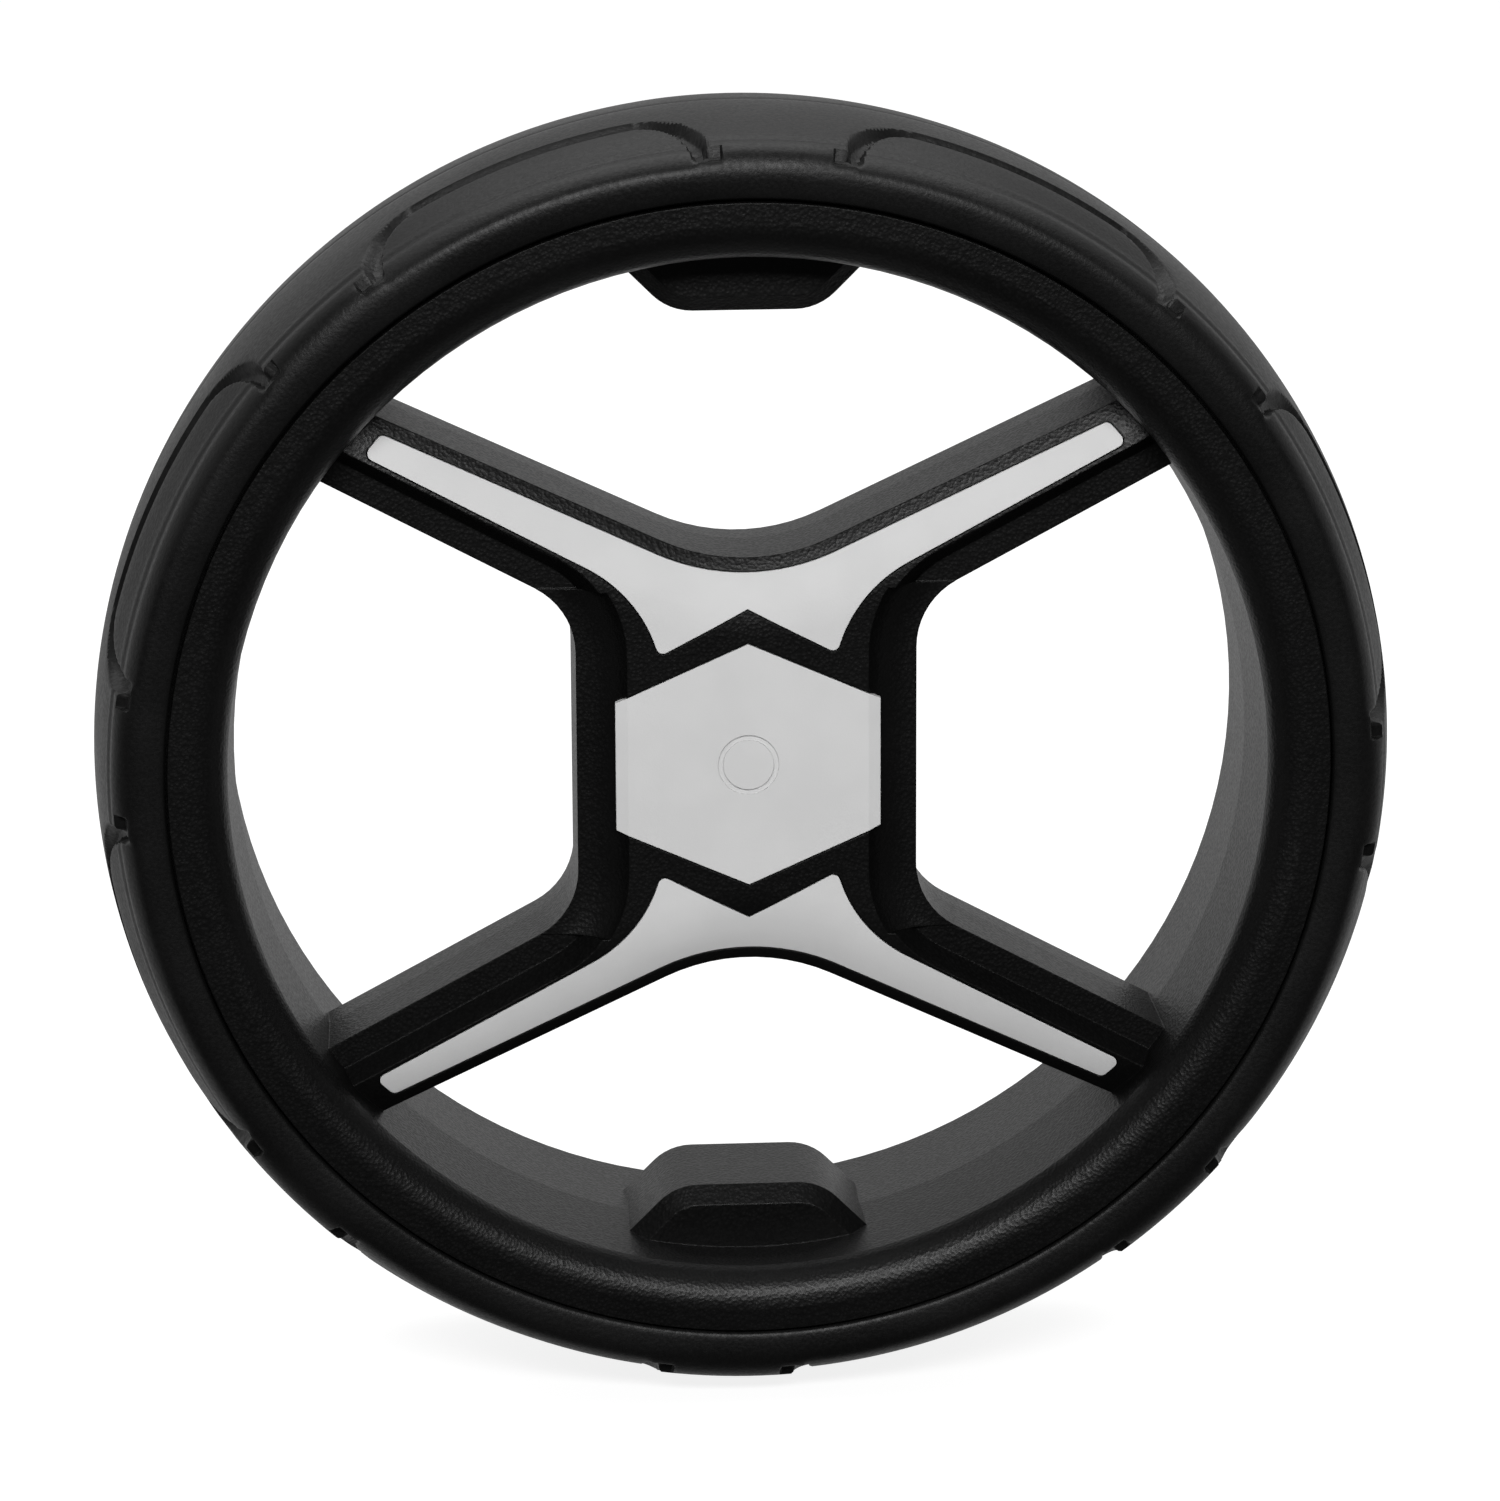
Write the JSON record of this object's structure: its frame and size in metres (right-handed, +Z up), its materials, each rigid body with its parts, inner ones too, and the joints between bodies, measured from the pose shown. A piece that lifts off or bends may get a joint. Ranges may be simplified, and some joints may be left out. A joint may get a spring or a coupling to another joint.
{
  "type": "cart wheel",
  "caption": "Airless cart wheel with a grooved foam tyre, black moulded cross-spoke rim, pale inlays, hexagonal hub cap and a bearing hub on a stub axle.",
  "frame": {"origin": "centre of the wheel, on the axle's axis at the middle of the tyre's width", "axes": "+Y along the axle from the capped outboard face to the free inboard end, +Z up through the middle of the upper window"},
  "size_m": [0.3, 0.104, 0.3],
  "materials": {
    "foam_tyre": "matte",
    "black_plastic": "matte",
    "pale_trim": "satin",
    "race_steel": "ground",
    "ball_steel": "polished",
    "cage_brass": "satin",
    "zinc_steel": "satin",
    "seal_rubber": "matte"
  },
  "bodies": {
    "axle": {"stub_axle": "zinc_steel", "axle_nut": "zinc_steel", "nut_washer": "zinc_steel", "bearing_spacer": "zinc_steel", "axle_collar": "zinc_steel", "front_bearing_inner_race": "race_steel", "rear_bearing_inner_race": "race_steel"},
    "wheel": {"tyre": "foam_tyre", "rim": "black_plastic", "upper_inlay": "pale_trim", "lower_inlay": "pale_trim", "hub_cap": "pale_trim", "bearing_circlip": "zinc_steel", "dust_seal": "seal_rubber", "front_bearing_outer_race": "race_steel", "front_bearing_outboard_shield": "zinc_steel", "front_bearing_inboard_shield": "zinc_steel", "rear_bearing_outer_race": "race_steel", "rear_bearing_outboard_shield": "zinc_steel", "rear_bearing_inboard_shield": "zinc_steel"},
    "front_ball_set": {"front_bearing_balls": "ball_steel", "front_bearing_cage": "cage_brass"},
    "rear_ball_set": {"rear_bearing_balls": "ball_steel", "rear_bearing_cage": "cage_brass"}
  },
  "joints": [
    {"name": "wheel_spin", "type": "hinge", "parent": "axle", "child": "wheel", "pos_m": [0, 0, 0], "axis": [0, 1, 0], "continuous": true},
    {"name": "front_cage_spin", "type": "hinge", "parent": "axle", "child": "front_ball_set", "pos_m": [0, 0, 0], "axis": [0, 1, 0], "continuous": true},
    {"name": "rear_cage_spin", "type": "hinge", "parent": "axle", "child": "rear_ball_set", "pos_m": [0, 0, 0], "axis": [0, 1, 0], "continuous": true}
  ],
  "couplings": [
    {"joint": "front_cage_spin", "follows": "wheel_spin", "ratio": 0.619},
    {"joint": "rear_cage_spin", "follows": "wheel_spin", "ratio": 0.619}
  ]
}
